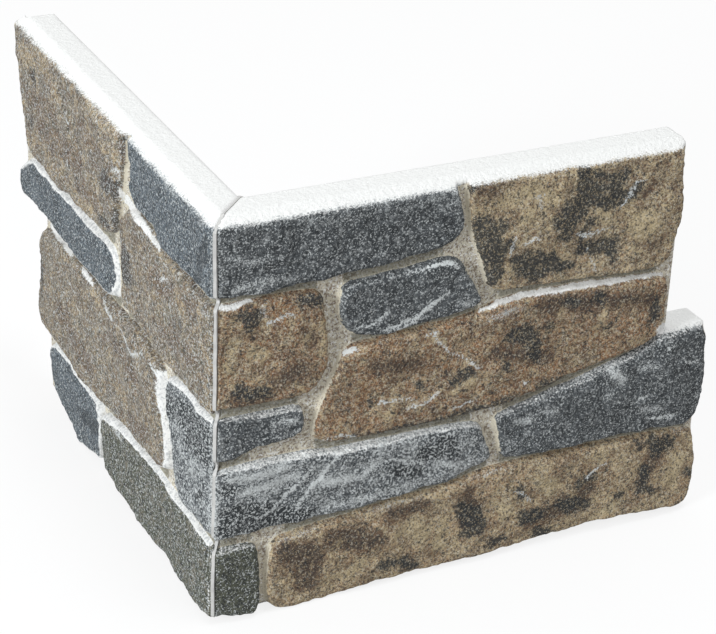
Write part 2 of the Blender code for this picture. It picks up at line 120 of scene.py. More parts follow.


# The stones of each panel

# A stone's name, a point inside it as distance from the corner and height in millimetres, its finish, how
# white its upward rim is, as bare body with a painted highlight, and how sandy its other sides are, which are
# white where they aren't sandy
LONG_STONES = {
    "slate_top": ((45, 138), "charcoal_slate", 0.0, 1.0),
    "olive_top": ((130, 128), "olive_stone", 0.0, 1.0),
    "rust_corner": ((20, 100), "rust_stone", 0.0, 1.0),
    "small_slate": ((70, 110), "charcoal_slate", 0.0, 1.0),
    "big_rust": ((100, 82), "rust_stone", 0.0, 1.0),
    "slate_strip": ((15, 72), "charcoal_slate", 0.4, 1.0),
    "pale_slate": ((50, 47), "frosted_slate", 0.45, 1.0),
    "end_slate": ((150, 55), "charcoal_slate", 0.3, 1.0),
    "foot_green": ((9, 15), "moss_stone", 0.35, 1.0),
    "foot_brown": ((100, 18), "umber_stone", 0.0, 1.0),
}
RETURN_STONES = {
    "slate_top": ((35, 137), "blue_slate", 0.0, 0.6),
    "olive_top": ((130, 125), "pale_olive_stone", 0.0, 0.8),
    "thin_slate": ((140, 88), "blue_slate", 1.0, 0.0),
    "brown_corner": ((40, 100), "grey_brown_stone", 0.1, 0.6),
    "big_brown": ((110, 55), "grey_brown_stone", 0.1, 0.1),
    "slate_corner": ((15, 55), "frosted_slate", 1.0, 0.3),
    "foot_grey": ((50, 17), "grey_stone", 1.0, 0.5),
    "foot_slate": ((135, 15), "blue_slate", 1.0, 0.3),
}

# Marks are strokes of points: distance from the corner, height, and half width, in millimetres
LONG_MARKS = {
    "frost": [
        [(2, 149.5, 1.5), (30, 149.5, 1.2), (60, 149, 1.8), (86, 149, 1.8)],
        [(28, 146.5, 1.0), (34, 146, 1.3), (40, 145.3, 1.0)],
        [(36, 144, 0.9), (42, 143.2, 1.2), (50, 143.5, 0.9)],
        [(50, 148, 1.0), (60, 147.5, 1.5), (66, 147, 1.2)],
        [(64, 143.5, 0.8), (72, 145, 1.0), (80, 146, 1.2)],
        [(76, 143, 0.8), (82, 142.3, 1.1), (87, 142, 1.0)],
        [(83, 148, 1.5), (86, 144, 1.4)],
        [(2.5, 147, 1.2), (3, 135, 0.8), (3, 125, 0.8)],
        [(6, 137, 1.6), (12, 135, 1.6), (20, 134.5, 1.0)],
        [(8, 126, 1.8), (20, 127, 1.8), (28, 126.5, 1.0)],
        [(44.6, 121, 0.6), (44.7, 114, 0.7), (45.5, 109, 0.8), (48, 104, 0.8)],
        [(50, 116, 0.5), (58, 116, 0.8)],
        [(45, 115.5, 0.5), (48, 114, 0.8), (52, 113, 0.4)],
        [(88, 118, 0.7), (90, 114, 0.9), (93, 111, 0.9), (95.5, 108.5, 0.8)],
        [(90, 105, 2.0), (94, 106, 1.5)],
        [(20, 70, 0.5), (26, 69, 0.7), (32, 68.5, 0.6)],
        [(2, 76, 1.2), (3, 70, 1.2), (3, 65, 0.8)],
        [(22, 74, 2.0), (30, 74, 2.0)],
        [(5, 57, 2.0), (15, 56, 3.0), (28, 57, 2.5)],
        [(10, 50, 2.2), (20, 51, 3.0), (30, 53, 3.0)],
        [(40, 37, 1.5), (60, 38, 2.0), (80, 39, 1.5), (100, 42, 1.5)],
        [(84, 44, 2.5), (92, 42.5, 2.2), (98, 44, 1.5)],
        [(40, 48, 3.0), (55, 46, 2.5), (62, 52, 2.0)],
        [(138, 66, 1.0), (146, 69, 1.4), (154, 70, 1.6)],
        [(150, 68, 2.4), (153, 65, 3.2), (156, 62, 2.8)],
        [(163, 66, 1.6), (168, 65, 2.0), (171, 64, 1.4)],
        [(151, 57, 1.6)],
        [(113, 55, 1.6), (119, 53.5, 2.4)],
        [(112, 47, 1.6)],
        [(124, 56, 1.8), (130, 55, 1.8)],
        [(165, 48, 1.8), (173, 46.5, 1.8)],
        [(1, 8, 0.8), (3, 4, 1.0)],
        [(1, 149, 1.6), (1, 123, 1.2)],
        [(1, 121, 0.9), (1, 83, 0.8)],
        [(1, 80, 1.2), (1, 34, 2.2)],
        [(17, 119, 1.3), (17.5, 115, 1.6)],
        [(100, 97, 1.5), (106, 98.5, 2.2), (113, 99, 1.2)],
        [(24, 28, 0.9), (30, 29.2, 1.2), (38, 30, 0.9)],
        [(58, 31.8, 0.9), (66, 32.4, 1.4), (78, 32.6, 0.9)],
        [(97, 35.2, 0.9), (105, 36, 1.4), (111, 36.6, 0.9)],
        [(180, 36, 0.9), (187, 35.6, 0.9)],
    ],
    "vein": [
        [(13, 122.6, 0.4), (15.5, 123.8, 0.5), (17, 126, 0.4)],
        [(62, 120.3, 0.4), (72, 121, 0.6), (80, 121.8, 0.8), (84, 121.2, 1.0), (86.5, 119.5, 0.8)],
        [(84, 111, 0.5), (80, 108.5, 0.9), (76, 106.5, 1.0), (72, 104, 0.8), (66, 102.2, 0.7),
         (60, 101.3, 0.5)],
        [(61, 100.8, 0.5), (68, 101, 0.6), (76, 103.6, 0.5)],
        [(50, 103, 0.4), (55, 104.5, 0.5), (61, 106.8, 0.5)],
        [(51, 107, 0.5), (50, 103.5, 0.5)],
        [(47, 58, 0.6), (42, 53.5, 0.9), (37, 48, 1.0), (33, 43, 0.8), (31, 41, 0.5)],
        [(37, 55, 0.6), (33, 50.5, 0.8), (29, 47.5, 0.7), (25, 44.5, 0.6), (21, 41.5, 0.5), (16, 39.5, 0.4)],
        [(66, 50.5, 0.4), (72, 48.5, 0.5), (77, 46.5, 0.5), (79, 43.5, 0.4)],
        [(163, 52, 0.4), (168, 53.5, 0.6)],
        [(168, 43.5, 0.4), (172, 43, 0.6), (180, 42.8, 0.5)],
        [(182, 64, 0.5), (187, 62, 0.7)],
        [(174, 71, 0.7), (178, 72, 0.5)],
        [(79, 95, 0.4), (82, 92, 0.4), (86, 88, 0.5), (91, 85, 0.5), (95, 81.5, 0.6), (98, 79.5, 0.6)],
        [(60, 74.5, 0.4), (66, 73.5, 0.7), (72, 72.5, 0.4)],
        [(71, 69.5, 0.4), (77, 70.5, 0.6), (82, 73, 0.5)],
        [(86, 65.5, 0.4), (92, 66, 0.5), (97, 67, 0.4)],
        [(40, 64.2, 0.5), (46, 64.7, 0.6), (52, 62.7, 0.4)],
        [(76, 96, 0.5), (80, 96, 0.6)],
        [(115.5, 69.5, 0.9), (116.2, 69.4, 0.6)],
        [(46.5, 95.8, 1.3), (50, 96.2, 1.0)],
        [(147.5, 130, 0.4), (150.5, 133, 0.6), (152.5, 136, 0.6), (153.5, 139, 0.5), (156.5, 139, 0.3)],
        [(111, 122.8, 0.5), (114, 124, 0.6), (118, 125.5, 0.4)],
        [(131, 123, 0.4), (136, 122.6, 0.6), (144, 123, 0.4)],
        [(106.3, 120, 0.4), (107.5, 124, 0.6), (108, 126, 0.4)],
        [(115.5, 140, 0.7), (117.4, 140.2, 0.5)],
        [(117, 139, 0.4), (117.3, 136.3, 0.5)],
        [(136.5, 118, 0.3), (138.5, 113, 0.3), (140.5, 108, 0.3)],
        [(19, 111.5, 0.5), (23, 112.5, 0.7), (26, 113.8, 0.5), (29, 112, 0.4)],
        [(115.5, 25.5, 0.4), (118.5, 24, 0.6), (122, 20.5, 0.4)],
        [(145, 24, 0.4), (149, 27, 0.5), (154, 29, 0.4)],
    ],
    # Bevels: white strokes along upper edges, bare body with a painted highlight
    "bevel": [
        [(96, 101.2, 0.6), (103, 103.2, 1.2), (112, 104, 1.2), (120, 104, 1.4), (135, 103.4, 1.3),
         (150, 102.8, 1.2), (160, 102.3, 0.9), (168, 101.6, 0.8)],
        [(1.5, 120.7, 0.9), (6, 120.9, 0.9), (13, 121.1, 0.7)],
        [(170, 79.5, 2.2), (191, 80.5, 2.4)],
    ],
    "dark": [
        [(11, 117, 1.8), (13, 113, 2.4), (15, 116, 1.8)],
        [(9, 90, 1.5), (13, 88, 2.0), (18, 87, 2.0)],
        [(31, 118, 1.8), (36, 117, 1.8)],
        [(108, 89, 1.8), (112, 90, 3.2), (117, 87, 3.2)],
        [(118, 84, 3.2), (119, 79, 2.2)],
        [(124, 90, 2.2)],
        [(107, 78, 1.4)],
        [(143, 97.5, 1.8), (144.5, 95, 1.0)],
        [(134, 97.5, 1.6), (130, 99, 1.2)],
        [(91, 78.5, 1.5), (94, 78, 1.4), (88, 76, 1.1)],
        [(75, 77, 1.2)],
        [(57, 75, 1.0)],
        [(146, 85, 0.5), (150, 86.5, 0.5)],
        [(50, 62.3, 0.7), (80, 62, 1.0), (110, 63.4, 1.2)],
        [(122, 67, 1.4), (130, 68, 0.9)],
        [(167, 90, 1.8), (166, 84, 1.5)],
        [(94, 133, 3.0), (97, 128, 4.8), (99, 121, 5.2), (100, 114, 4.0)],
        [(103, 131, 1.8)],
        [(106, 124, 1.8)],
        [(110, 117, 2.8), (114, 115, 4.4), (121, 114, 3.8), (116, 110.5, 2.4)],
        [(126, 112, 1.8), (130, 112, 0.9)],
        [(132, 148, 1.8), (132.5, 143, 2.8), (133, 137, 3.4), (130, 131, 3.4), (127, 124, 2.2)],
        [(137, 144, 1.4), (142, 142, 1.5), (147, 141, 1.5), (149, 144, 1.0)],
        [(134, 140, 2.6), (141, 139.5, 2.2), (147, 138, 1.8)],
        [(128, 133, 3.0), (124, 129, 2.0)],
        [(138, 134.5, 2.4), (145, 133.5, 2.8), (151, 134, 2.4), (155, 137, 1.6)],
        [(134, 118, 2.4), (139, 117, 2.4), (145, 116, 2.8), (147, 112.5, 1.4)],
        [(136, 127, 1.6), (133, 122, 1.4)],
        [(91, 147, 1.6)],
        [(4, 44, 2.8), (15, 42, 3.6), (25, 38, 3.2), (34, 36, 1.8)],
        [(2, 39, 3.0), (20, 36, 2.4)],
        [(3, 53, 1.8), (8, 52, 1.4)],
        [(78, 50, 2.4), (88, 49, 2.8), (86, 53, 2.2)],
        [(68, 46, 2.0), (75, 43, 1.8)],
        [(94, 24, 2.4), (98, 20, 3.8), (101, 15, 3.4), (96, 13, 1.8)],
        [(64, 8, 1.6), (72, 7.5, 1.8), (76, 5, 1.4)],
        [(117, 26, 1.1), (118, 22.5, 1.4)],
        [(121, 13, 2.8), (127, 14, 1.6)],
        [(126, 6, 1.8), (131, 5, 1.4)],
        [(134, 17, 1.8), (139, 14, 2.4), (146, 13, 1.8)],
        [(142, 23, 1.4), (147, 24, 1.6)],
        [(165, 35, 0.9), (167, 32, 1.4)],
        [(172, 34, 1.8), (175, 30, 2.8), (179, 31, 2.6)],
        [(170, 21, 2.6), (169, 15, 1.8), (174, 12, 1.1)],
        [(106, 6, 1.4), (112, 7, 1.4)],
        [(160, 14, 1.1)],
        [(190, 16, 1.4)],
    ],
    "umber": [
        [(22, 90, 2.4), (30, 93, 4.0)],
        [(35, 103, 2.4), (32, 107, 1.6)],
        [(8, 87, 2.2), (18, 86, 2.2)],
        [(58, 88, 3.0), (74, 86, 2.4)],
        [(120, 98, 3.2), (150, 95, 3.4), (164, 92, 2.8)],
        [(104, 84, 3.0), (124, 78, 3.0)],
        [(92, 146.5, 1.8), (99, 145, 1.4)],
        [(160, 137, 1.6), (157, 133, 1.4)],
        [(162, 114, 1.8)],
        [(27, 24, 4.2), (36, 19, 6.4), (35, 10, 5.0)],
        [(44, 25, 3.4), (54, 22, 5.6), (62, 19, 3.4)],
        [(66, 28, 2.8), (80, 29, 2.2)],
        [(98, 20, 5.4), (96, 28, 3.4)],
        [(124, 12, 4.2), (140, 15, 4.4), (148, 20, 2.8)],
        [(170, 20, 3.2), (176, 31, 4.2)],
    ],
    "tan": [
        [(14, 103, 2.8), (18, 100, 1.8)],
        [(33, 104, 2.0)],
        [(8, 108, 1.8), (6, 97, 1.8)],
        [(38, 108, 1.4), (38.5, 98, 1.8)],
        [(66, 76, 1.8), (64, 68, 1.8)],
        [(94, 75, 2.8), (88, 72, 1.8)],
        [(100, 90, 1.4)],
        [(128, 95, 1.8)],
        [(146, 92, 1.8), (143, 86, 1.4)],
        [(112, 133, 3.8)],
        [(103, 140, 3.0), (112, 143, 3.6), (122, 138, 2.8)],
        [(142, 128, 4.6)],
        [(158, 122, 6.6)],
        [(137, 147, 2.4)],
        [(47, 22, 2.2)],
        [(56, 12, 2.8), (50, 7, 2.4), (44, 9, 1.8)],
        [(70, 20, 3.2), (76, 23, 2.8), (80, 16, 3.8)],
        [(86, 10, 2.8), (88, 20, 2.8)],
        [(112, 18, 3.8), (108, 22, 1.8)],
        [(130, 24, 3.8), (125, 28, 2.8)],
        [(140, 18, 2.6)],
        [(158, 10, 2.8), (150, 6, 1.8)],
        [(184, 22, 3.8), (182, 14, 3.8)],
        [(150, 32, 2.8)],
    ],
}
RETURN_MARKS = {
    "frost": [
        [(1, 149.5, 1.4), (30, 149.3, 1.6), (76, 149.3, 1.8)],
        [(8, 146, 1.4), (12, 146.5, 1.0)],
        [(46, 146, 0.8), (50, 146.8, 0.7)],
        [(30, 147, 1.6), (40, 146, 1.4)],
        [(12, 137.5, 1.1)],
        [(7, 126, 0.9), (7, 125, 0.7)],
        [(3, 117, 1.4), (8, 116, 1.2)],
        [(82, 149.5, 1.0), (120, 148.8, 1.4), (150, 148.8, 1.4), (192, 149, 1.0)],
        [(6, 57, 1.0), (12, 54, 1.3)],
        [(20, 50, 1.0), (27, 56, 1.4)],
        [(10, 41, 1.0), (22, 40, 1.3)],
        [(44, 55, 1.0), (43, 60, 1.0)],
        [(30, 23, 0.8), (34, 22, 0.8)],
        [(95, 29, 2.6), (84, 27, 2.0)],
        [(1, 149, 1.2), (1, 123, 1.0)],
        [(1, 80, 1.2), (1, 34, 1.4)],
    ],
    "vein": [
        [(38, 113.5, 0.5), (42, 112, 0.7), (45, 110, 0.6)],
        [(39, 117.2, 0.5), (41, 117.2, 0.5)],
        [(61, 74, 0.4), (66, 71.5, 0.5), (71, 68.7, 0.7), (75, 68.3, 0.7), (80, 71, 0.7), (84, 72.5, 0.4)],
        [(90, 72.6, 0.8), (95, 73.3, 1.0), (100, 75.5, 0.9)],
        [(43, 73, 1.1), (48, 72.3, 1.0), (53, 74.5, 0.7)],
        [(131, 64, 0.5), (135, 65.3, 0.5), (139, 65, 0.4)],
        [(125, 57.5, 0.4), (129, 59, 0.5)],
        [(143, 58, 0.5), (148, 55, 0.4)],
        [(106, 53, 0.4), (108, 51.5, 0.4)],
        [(114, 46, 0.5), (115, 43, 0.6)],
        [(154, 45, 0.6), (155, 44, 0.5)],
        [(83, 133, 0.8), (88, 132, 0.5)],
        [(134, 130.5, 0.7), (138, 132, 0.5)],
        [(102, 143, 0.7), (104, 143, 0.5)],
        [(135, 114, 0.8), (135.5, 116, 0.5)],
    ],
    # Bevels: white strokes along upper edges, bare body with a painted highlight
    "bevel": [
        [(46, 121.5, 1.2), (58, 123.0, 2.0), (70, 124.6, 2.4), (82, 125.5, 1.8)],
        [(112, 76.5, 1.1), (122, 77.5, 1.4)],
        [(135, 78, 1.4), (148, 79, 1.8), (160, 78.5, 1.4)],
        [(1, 80.6, 0.5), (20, 80.6, 0.6)],
    ],
    "dark": [
        [(5, 143, 1.8), (6, 137, 2.8), (10, 133, 2.8), (12, 127, 2.8), (14, 123.5, 1.8)],
        [(78, 103, 4.6), (80, 96, 4.6), (74, 97, 2.8)],
        [(27, 102, 1.8)],
        [(23, 94, 1.1)],
        [(84, 126, 2.8), (88, 124, 3.8), (95, 124, 4.2), (102, 121, 1.8)],
        [(86, 115, 2.4), (88, 111, 1.8)],
        [(95, 107, 1.8), (102, 107, 1.8)],
        [(172, 135, 2.6), (170, 132, 1.8)],
        [(176, 114, 1.8)],
        [(3, 73, 3.4), (20, 71, 4.4), (37, 66, 4.0)],
        [(4, 64, 3.4), (20, 63, 3.6)],
        [(8, 47, 1.6), (12, 45, 1.4)],
        [(110, 18, 3.0), (125, 14, 3.0)],
        [(172, 60, 2.0), (171, 45, 2.0)],
    ],
    "umber": [
        [(20, 112, 4.0), (50, 108, 4.0)],
        [(15, 95, 3.4), (45, 92, 3.0)],
        [(120, 40, 4.4), (150, 48, 4.0)],
        [(70, 60, 4.0), (90, 64, 3.4)],
        [(60, 42, 3.4), (75, 38, 3.0)],
        [(125, 120, 5.0), (165, 116, 5.0)],
        [(150, 128, 4.0), (178, 124, 4.0)],
        [(100, 132, 3.4), (120, 134, 3.4)],
        [(105, 112, 3.4), (120, 110, 3.4)],
    ],
    "tan": [
        [(30, 111, 2.8), (25, 108, 2.8)],
        [(35, 83, 1.8)],
        [(85, 147, 3.6), (100, 146, 4.6), (115, 147, 3.6)],
        [(85, 137, 2.8)],
        [(160, 144, 4.6), (185, 138, 4.6)],
        [(110, 106, 2.6), (125, 104, 2.4)],
        [(132, 57, 3.6)],
        [(82, 47, 3.0), (88, 46, 2.4)],
        [(112, 74, 3.0), (105, 72, 2.4)],
    ],
}

# Along and across are the frame's axes along the arm and through its thickness. Lean is how far nearer the
# corner, and how much higher, a point shows for each millimetre that it is set back. Slopes are the forward
# parts of a rim's normal where the raw body starts and where it is bare
Panel = namedtuple("Panel", "node piece slot along across stones marks seed lean slopes")
LONG_PANEL = Panel("long_panel", "long_panel_stoneware", "stoneware_long", 0, 1, LONG_STONES, LONG_MARKS, 3.0,
                   (0.509, 0.593), (0.90, 0.80))
RETURN_PANEL = Panel("return_panel", "return_panel_stoneware", "stoneware_return", 1, 0, RETURN_STONES,
                     RETURN_MARKS, 57.0, (1.965, 1.165), (0.95, 0.89))

# Panel geometry, in millimetres

CELL = 0.5          # spacing of the height map
LEVEL = 0.1         # step between its flood levels
SPAN = 200.0        # it reaches this far from the corner
BED_RISE = 0.4      # cells lower than this over the bed belong to a joint
RELIEF_WAVES = ((12, 12), (3.4, 2.6), (1.7, 1.3))   # swell, hewn marks and grain, sideways and up
SLOW_STRAY = 5      # waves in the edges of the marks
QUICK_STRAY = 1.9
MARK_STRAY = 1.0    # how much of their stray the marks take, and the edge of the print at the top
TOP_STRAY = 0.3

# Where something starts and where it is whole, by rise over the bed of the joints, depth behind the stone
# faces, height, distance from the mitre face, or how far a face looks up
GRAIN_RISE = (0.5, 1.5)
GRAIN_DEPTH = (THICKNESS - 1.0, THICKNESS - 3.0)
GRAIN_MITRE = (0.9, 2.0)
GRAIN_TOP = (HEIGHT - 0.5, HEIGHT - 5.0)
TOP_GRAIN = 0.35    # share of the grain that the top edge has all the same
CREEP_MITRE = (1.3, 0.7)
PRINT_DEPTH = (BED_DEPTH + 1.2, BED_DEPTH + 0.4)
PRINT_HEIGHT = (PRINT_TOP + 0.8, PRINT_TOP - 2.2)
BED_SAND = (0.7, 0.25)
SIDE_RISE = (0.2, 0.6)
SIDE_MITRE = (0.8, 1.7)
SIDE_HEIGHT = (PRINT_TOP - 2.0, PRINT_TOP - 4.0)
RIM_UPWARD = (0.25, 0.5)
SANDY_RISE = (2.0, 1.0)
SANDY_UPWARD = (-0.5, -0.2)
SHADED_JOINT_HEIGHT = (6.5, 4.5)        # by a joint's height: shade is painted into a low one
SHADED_JOINT_DEPTH = (THICKNESS / 4, BED_DEPTH + 0.3)
BEVEL_WEAR_AND_HIGHLIGHT = (-0.8, 0.6)        # by distance inside a bevel's stroke
BEVEL_WHITE_SHARE = 0.7    # how white a bevel is, as bare body and painted highlight

GROOVES = 1.2       # the grooves of the back are no deeper than this
BACK_FACING = 0.95  # least backward part of the normal there
FLAT_ANGLE = 3      # in degrees, for faces of the back to be made one
FLAT_AREA = 4       # in square millimetres, from which a face isn't shaded smooth

# The outer corner in the frame, where the two panels' stone faces would meet
CORNER = Vector((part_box("return_panel")[1].x - THICKNESS * MM,
                 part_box("long_panel")[1].y - THICKNESS * MM, 0.0))


def drawn(panel, points):
    """Distance from the corner, depth and height of points, in millimetres."""
    local = (points - np.array(CORNER)) / MM
    return local[:, panel.along], local[:, panel.across], local[:, 2]


def step(low, high, value):
    """Smooth step from 0 at low to 1 at high."""
    share = np.clip((value - low) / (high - low), 0, 1)
    return share * share * (3 - 2 * share)


def height_map(panel, tree):
    """Height of the relief over the bed of the joints, on a grid with a closed border."""
    across = int(SPAN / CELL)
    up = int(HEIGHT / CELL)
    heights = np.full((across + 2, up + 2), -np.inf)
    ray = Vector((0, 0, 0))
    ray[panel.across] = 1.0
    for i in range(across):
        for j in range(up):
            start = CORNER.copy()
            start[panel.along] += (i + 0.5) * CELL * MM
            start[panel.across] -= 2 * BED_DEPTH * MM
            start.z += (j + 0.5) * CELL * MM
            hit = tree.ray_cast(start, ray)[0]
            depth = THICKNESS if hit is None else (hit - CORNER)[panel.across] / MM
            heights[i + 1, j + 1] = BED_DEPTH - depth
    return heights


def stone_map(panel, heights):
    """Number of the stone that each cell belongs to, flooded from the stones' points down the relief."""
    labels = np.zeros(heights.shape, int)
    for number, ((u, v), *_) in enumerate(panel.stones.values(), 1):
        labels[int(u / CELL) + 1, int(v / CELL) + 1] = number
    levels = [*np.arange(heights.max(), -BED_DEPTH, -LEVEL), -THICKNESS - LEVEL]
    for level in levels:
        flooded = heights > level
        while True:
            grown = labels.copy()
            for shift, axis in ((1, 0), (-1, 0), (1, 1), (-1, 1)):
                near = np.roll(labels, shift, axis)
                taken = (grown == 0) & flooded & (near > 0)
                grown[taken] = near[taken]
            if np.array_equal(grown, labels):
                break
            labels = grown
    return labels


def joint_heights(heights):
    """How tall the joint is at each cell of its bed, in millimetres, and 0 on the stones."""
    bed = heights < BED_RISE
    below = np.zeros(heights.shape)
    above = np.zeros(heights.shape)
    for row in range(1, heights.shape[1]):
        below[:, row] = np.where(bed[:, row], below[:, row - 1] + CELL, 0)
        above[:, -row - 1] = np.where(bed[:, -row - 1], above[:, -row] + CELL, 0)
    return below + above


def stroke_field(u, v, strokes, reach=3.0):
    """How far each point lies inside the nearest stroke, negative outside and cut off at reach."""
    field = np.full(len(u), -reach)
    for stroke in strokes:
        for (u0, v0, r0), (u1, v1, r1) in zip(stroke, stroke[1:] or stroke):
            du, dv = u1 - u0, v1 - v0
            span = du * du + dv * dv
            share = np.clip(((u - u0) * du + (v - v0) * dv) / span, 0, 1) if span else np.zeros(len(u))
            away = np.hypot(u - u0 - share * du, v - v0 - share * dv)
            field = np.maximum(field, r0 + share * (r1 - r0) - away)
    return np.minimum(field, reach)


def relief_at(point, seed):
    """Slow swell, hewn marks and grain at a point in millimetres, each from about -1 to 1."""
    return [noise.noise(Vector((point[0] / wide, point[1] / wide, point[2] / tall + number * seed)))
            for number, (wide, tall) in enumerate(RELIEF_WAVES, 1)]


def stray_at(point, seed):
    """How far a mark strays at a point, along the panel and up, in millimetres."""
    slow = Vector((point[0] / SLOW_STRAY, point[1] / SLOW_STRAY, point[2] / SLOW_STRAY + 5 * seed))
    quick = Vector((point[0] / QUICK_STRAY, point[1] / QUICK_STRAY, point[2] / QUICK_STRAY + 7 * seed))
    return [noise.noise(slow + apart) + 0.5 * noise.noise(quick + apart)
            for apart in (Vector((0, 0, 0)), Vector((31, 0, 0)))]


def placed(name, bm):
    """An object in the scene from a bmesh, which is freed."""
    mesh = bpy.data.meshes.new(name)
    bm.to_mesh(mesh)
    bm.free()
    piece = bpy.data.objects.new(name, mesh)
    bpy.context.scene.collection.objects.link(piece)
    return piece


def even_grid(panel, sizes):
    """A merged copy of the CAD node's mesh, remeshed to an even grid of points."""
    bm = bmesh.new()
    bm.from_mesh(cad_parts[panel.node].data)
    bmesh.ops.remove_doubles(bm, verts=bm.verts, dist=MM / 1000)
    tree = BVHTree.FromBMesh(bm)
    piece = placed(panel.piece, bm)
    mesh = piece.data
    remesh = piece.modifiers.new("even_grid", "REMESH")
    remesh.mode = "VOXEL"
    remesh.voxel_size = sizes.grid
    made = bpy.data.meshes.new_from_object(piece.evaluated_get(bpy.context.evaluated_depsgraph_get()))
    piece.modifiers.clear()
    piece.data = made
    made.name = panel.piece
    bpy.data.meshes.remove(mesh)
    return piece, tree


def gathered(items, name, kind=float, width=3):
    """A property of all of a mesh's points, faces or loops, one row each."""
    rows = np.empty(len(items) * width, kind)
    items.foreach_get(name, rows)
    return rows.reshape(-1, width)


def rough_faces(panel, mesh, sizes):
    """Give the stones their swells, hewn marks and grain, and the joints their sand. The back stays flat."""
    points = gathered(mesh.vertices, "co")
    normals = gathered(mesh.vertex_normals, "vector")
    u, depth, v = drawn(panel, points)
    off_mitre = (u - depth) / math.sqrt(2)
    stone = step(*GRAIN_RISE, BED_DEPTH - depth)
    top = TOP_GRAIN + (1 - TOP_GRAIN) * step(*GRAIN_TOP, v)
    swell, hewn, grain = np.array([relief_at(p / MM, panel.seed) for p in points]).T
    height = stone * (sizes.swell * swell + sizes.hewn * hewn + sizes.grain * grain)
    height += (1 - stone) * sizes.joint_sand * grain
    height *= step(*GRAIN_DEPTH, depth) * step(*GRAIN_MITRE, off_mitre) * top
    points += normals * height[:, None]
    creep = MITRE_CREEP * MM * step(*CREEP_MITRE, off_mitre) / math.sqrt(2)
    points[:, panel.along] -= creep
    points[:, panel.across] += creep
    mesh.vertices.foreach_set("co", points.ravel())
    mesh.update()


def flatten_back(panel, mesh):
    """Dissolve the even grid where the back and its grooves are flat."""
    bm = bmesh.new()
    bm.from_mesh(mesh)
    across = panel.across
    at = CORNER[across] + (THICKNESS - GROOVES) * MM
    for face in bm.faces:
        face.tag = face.normal[across] > BACK_FACING and all(vert.co[across] > at for vert in face.verts)
    edges = [edge for edge in bm.edges if all(face.tag for face in edge.link_faces)]
    bmesh.ops.dissolve_limit(bm, angle_limit=math.radians(FLAT_ANGLE), use_dissolve_boundaries=False,
                             edges=edges, verts=[], delimit=set())
    for face in bm.faces:
        face.smooth = face.calc_area() < MM * MM * FLAT_AREA
    bm.to_mesh(mesh)
    bm.free()


def paint_fields(panel, mesh, tree):
    """Point attributes for the materials, and each face's material by the stone that it belongs to."""
    points = gathered(mesh.vertices, "co")
    normals = gathered(mesh.vertex_normals, "vector")
    u, depth, v = drawn(panel, points)
    rise = BED_DEPTH - depth
    facing = -normals[:, panel.across]
    upward = normals[:, 2]
    heights = height_map(panel, tree)
    labels = stone_map(panel, heights)
    column = np.clip((u / CELL).astype(int) + 1, 1, labels.shape[0] - 2)
    row = np.clip((v / CELL).astype(int) + 1, 1, labels.shape[1] - 2)
    stone = labels[column, row]
    joint_shade = step(*SHADED_JOINT_HEIGHT, joint_heights(heights)[column, row])

    stray_along, stray_up = np.array([stray_at(p / MM, panel.seed) for p in points]).T
    set_back = np.clip(depth, -BED_DEPTH, BED_DEPTH + 1)
    drawn_u = u - panel.lean[0] * set_back + MARK_STRAY * stray_along
    drawn_v = v + panel.lean[1] * set_back + MARK_STRAY * stray_up
    fields = {kind: stroke_field(drawn_u, drawn_v, strokes) for kind, strokes in panel.marks.items()}
    _, order, rims, sands = zip(*panel.stones.values())
    rims = np.array([0.0, *rims])[stone]
    sands = np.array([1.0, *sands])[stone]
    on_front = step(*PRINT_DEPTH, depth) * step(*PRINT_HEIGHT, v + TOP_STRAY * stray_along)
    off_slope = rise + np.maximum(v - SLOPE_FOOT, 0) * SLOPE
    off_mitre = step(*SIDE_MITRE, (u - depth) / math.sqrt(2))
    side = step(*panel.slopes, facing) * step(*SIDE_RISE, rise) * off_mitre * step(*SIDE_HEIGHT, v)
    # Upward rims are painted white: the bare body, and a painted highlight from the light above
    rim = side * step(*RIM_UPWARD, upward)
    bare_and_highlit = np.maximum(rim * rims, (side - rim) * (1 - sands))
    # Bevel strokes are painted white too: bare body and a painted highlight
    worn_and_highlit = step(*BEVEL_WEAR_AND_HIGHLIGHT, fields.pop("bevel"))
    bed = step(*BED_SAND, off_slope) * on_front * (1 - worn_and_highlit)
    fields["raw_and_highlit"] = np.maximum.reduce([bare_and_highlit, BEVEL_WHITE_SHARE * worn_and_highlit * on_front, 1 - on_front])
    fields["bed"] = bed
    # Painted shade on the white ledges and rims of the front
    fields["ledge_shade"] = bare_and_highlit * on_front
    # Painted shade: the sand of low joints between the stones is darkened
    fields["joint_shade"] = bed * joint_shade * step(*SHADED_JOINT_DEPTH, depth)
    fields["sandy"] = (side - rim) * sands * on_front * step(*SANDY_RISE, rise) * step(*SANDY_UPWARD, upward)
    for name, values in fields.items():
        attribute = mesh.attributes.new(name, "FLOAT", "POINT")
        attribute.data.foreach_set("value", values.astype(np.float32))

    first = gathered(mesh.polygons, "loop_start", int, 1)
    loops = gathered(mesh.loops, "vertex_index", int, 1)
    finishes = list(dict.fromkeys(order))
    lookup = np.array([0] + [finishes.index(finish) for finish in order])
    mesh.polygons.foreach_set("material_index", lookup[stone[loops[first]]].ravel().astype(np.int32))
    for finish in finishes:
        mesh.materials.append(stoneware(finish))


# Materials

def add(tree, kind, settings=None, inputs=None):
    """Add a node with its settings, and set or link its inputs."""
    made = tree.nodes.new(kind)
    for name, value in (settings or {}).items():
        setattr(made, name, value)
    for name, value in (inputs or {}).items():
        if isinstance(value, bpy.types.NodeSocket):
            tree.links.new(value, made.inputs[name])
        else:
            made.inputs[name].default_value = value
    return made


def blank_material(name):
    """A new material, and its node tree with nothing in it."""
    made = bpy.data.materials.new(name)
    made.use_nodes = True
    made.node_tree.nodes.clear()
    return made, made.node_tree


